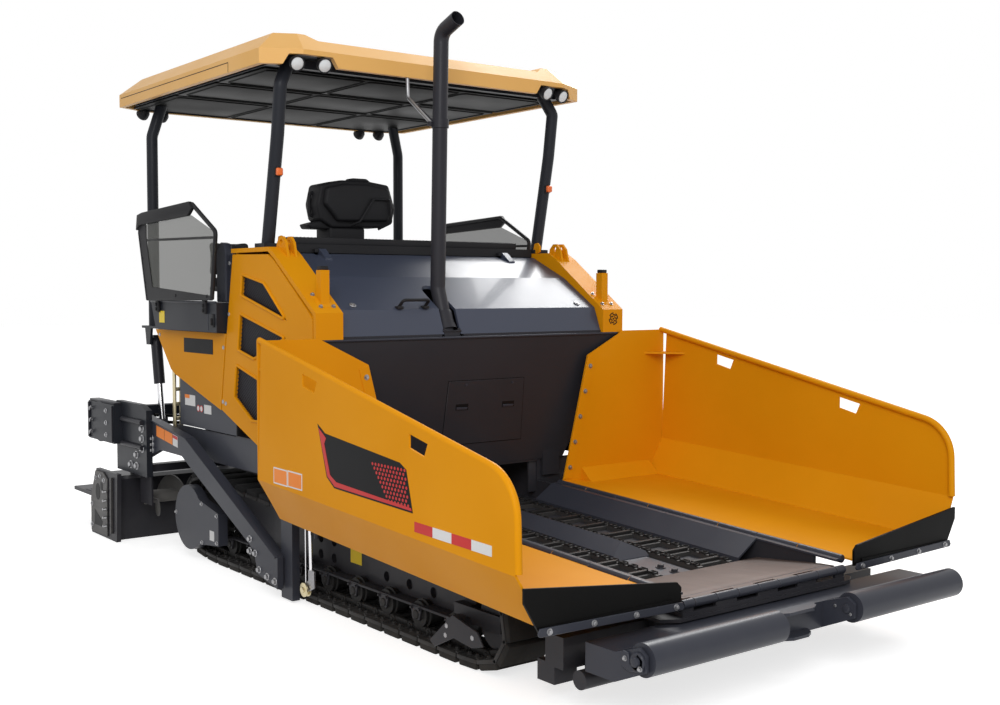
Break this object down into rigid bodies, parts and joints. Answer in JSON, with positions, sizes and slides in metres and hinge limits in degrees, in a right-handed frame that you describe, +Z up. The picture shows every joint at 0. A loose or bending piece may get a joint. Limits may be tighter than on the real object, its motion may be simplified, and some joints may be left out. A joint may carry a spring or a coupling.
{
  "type": "tracked asphalt paver",
  "caption": "Tracked asphalt paver with folding hopper wings, twin conveyor, roofed platform, augers and a lifting screed on tow arms.",
  "frame": {"origin": "on the ground, in the middle of the machine's length and width", "axes": "+X forwards towards the hopper and push rollers, +Y to the machine's left, +Z up"},
  "size_m": [6.95, 3.5, 3.9169],
  "materials": {
    "yellow_paint": "gloss",
    "canopy_paint": "satin",
    "slate_paint": "satin",
    "dark_paint": "satin",
    "track_steel": "matt",
    "worn_steel": "worn",
    "bare_steel": "brown, worn",
    "rubber": "matt",
    "cast_iron": "rough",
    "smoked_panel": "smoked",
    "moulded_black": "matt",
    "chrome": "polished"
  },
  "bodies": {
    "tractor": {"main_frame": "dark_paint", "track_left": "track_steel", "track_right": "track_steel", "track_frames": "dark_paint", "drive_sprockets": "worn_steel", "sprocket_covers": "slate_paint", "hopper_floor": "slate_paint", "conveyor": "worn_steel", "bulkhead": "dark_paint", "engine_block": "cast_iron", "bay_wall": "dark_paint", "corner_cowls": "yellow_paint", "side_panels": "yellow_paint", "rear_tank": "dark_paint", "lower_panels": "slate_paint", "platform": "slate_paint", "wind_guards": "smoked_panel", "console": "moulded_black", "seats": "moulded_black", "canopy_roof": "canopy_paint", "canopy_frame": "dark_paint", "exhaust": "dark_paint", "auger_frame": "dark_paint", "tow_guides": "slate_paint"},
    "wing_left": {"wing_left": "yellow_paint", "flap_left": "rubber"},
    "wing_right": {"wing_right": "yellow_paint", "flap_right": "rubber"},
    "apron": {"apron": "bare_steel"},
    "push_beam": {"push_beam": "slate_paint"},
    "push_roller_left": {"push_roller_left": "slate_paint"},
    "push_roller_right": {"push_roller_right": "slate_paint"},
    "hood": {"hood": "slate_paint"},
    "grille_door_left": {"grille_door_left": "yellow_paint"},
    "grille_door_right": {"grille_door_right": "yellow_paint"},
    "auger_left": {"auger_left": "worn_steel"},
    "auger_right": {"auger_right": "worn_steel"},
    "screed": {"tow_arms": "slate_paint", "screed_frame": "slate_paint", "screed_body": "dark_paint", "end_plates": "dark_paint", "walkway": "dark_paint"},
    "lift_barrel_left": {"lift_barrel_left": "dark_paint"},
    "lift_rod_left": {"lift_rod_left": "chrome"},
    "lift_barrel_right": {"lift_barrel_right": "dark_paint"},
    "lift_rod_right": {"lift_rod_right": "chrome"}
  },
  "joints": [
    {"name": "wing_left_fold", "type": "hinge", "parent": "tractor", "child": "wing_left", "pos_m": [0.612, 0.69, 0.644], "axis": [0.9987, 0, -0.0506], "range_deg": [0, 52]},
    {"name": "wing_right_fold", "type": "hinge", "parent": "tractor", "child": "wing_right", "pos_m": [0.612, -0.69, 0.644], "axis": [-0.9987, 0, 0.0506], "range_deg": [0, 52]},
    {"name": "apron_fold", "type": "hinge", "parent": "tractor", "child": "apron", "pos_m": [3.084, 0, 0.471], "axis": [0, 1, 0], "range_deg": [0, 80]},
    {"name": "hood_lift", "type": "hinge", "parent": "tractor", "child": "hood", "pos_m": [-0.2, 0, 2.325], "axis": [0, -1, 0], "range_deg": [0, 60]},
    {"name": "grille_door_left_swing", "type": "hinge", "parent": "tractor", "child": "grille_door_left", "pos_m": [0.543, 1.315, 1.5], "axis": [0, 0, -1], "range_deg": [0, 80]},
    {"name": "grille_door_right_swing", "type": "hinge", "parent": "tractor", "child": "grille_door_right", "pos_m": [0.543, -1.315, 1.5], "axis": [0, 0, 1], "range_deg": [0, 80]},
    {"name": "push_beam_swing", "type": "hinge", "parent": "tractor", "child": "push_beam", "pos_m": [2.985, 0, 0.31], "axis": [0, 0, 1], "range_deg": [-4, 4]},
    {"name": "push_roller_left_spin", "type": "hinge", "parent": "push_beam", "child": "push_roller_left", "pos_m": [3.395, 0.77, 0.372], "axis": [0, 1, 0], "continuous": true},
    {"name": "push_roller_right_spin", "type": "hinge", "parent": "push_beam", "child": "push_roller_right", "pos_m": [3.395, -0.77, 0.372], "axis": [0, 1, 0], "continuous": true},
    {"name": "auger_left_spin", "type": "hinge", "parent": "tractor", "child": "auger_left", "pos_m": [-2.13, 0.7, 0.37], "axis": [0, 1, 0], "continuous": true},
    {"name": "auger_right_spin", "type": "hinge", "parent": "tractor", "child": "auger_right", "pos_m": [-2.13, -0.7, 0.37], "axis": [0, 1, 0], "continuous": true},
    {"name": "screed_lift", "type": "hinge", "parent": "tractor", "child": "screed", "pos_m": [0.12, 0, 0.19], "axis": [0, 1, 0], "range_deg": [0, 9]},
    {"name": "lift_barrel_left_swing", "type": "hinge", "parent": "tractor", "child": "lift_barrel_left", "pos_m": [-2.25, 1.2, 1.64], "axis": [0, -1, 0], "range_deg": [0, 25.33]},
    {"name": "lift_rod_left_slide", "type": "slide", "parent": "lift_barrel_left", "child": "lift_rod_left", "axis": [-0.1644, 0, 0.9864], "range_m": [0, 0.27108]},
    {"name": "lift_barrel_right_swing", "type": "hinge", "parent": "tractor", "child": "lift_barrel_right", "pos_m": [-2.25, -1.2, 1.64], "axis": [0, -1, 0], "range_deg": [0, 25.33]},
    {"name": "lift_rod_right_slide", "type": "slide", "parent": "lift_barrel_right", "child": "lift_rod_right", "axis": [-0.1644, 0, 0.9864], "range_m": [0, 0.27108]}
  ],
  "couplings": [
    {"joint": "lift_barrel_left_swing", "follows": "screed_lift", "ratio": 2.8138},
    {"joint": "lift_rod_left_slide", "follows": "screed_lift", "m_per_rad": 1.7245},
    {"joint": "lift_barrel_right_swing", "follows": "screed_lift", "ratio": 2.8138},
    {"joint": "lift_rod_right_slide", "follows": "screed_lift", "m_per_rad": 1.7245}
  ]
}
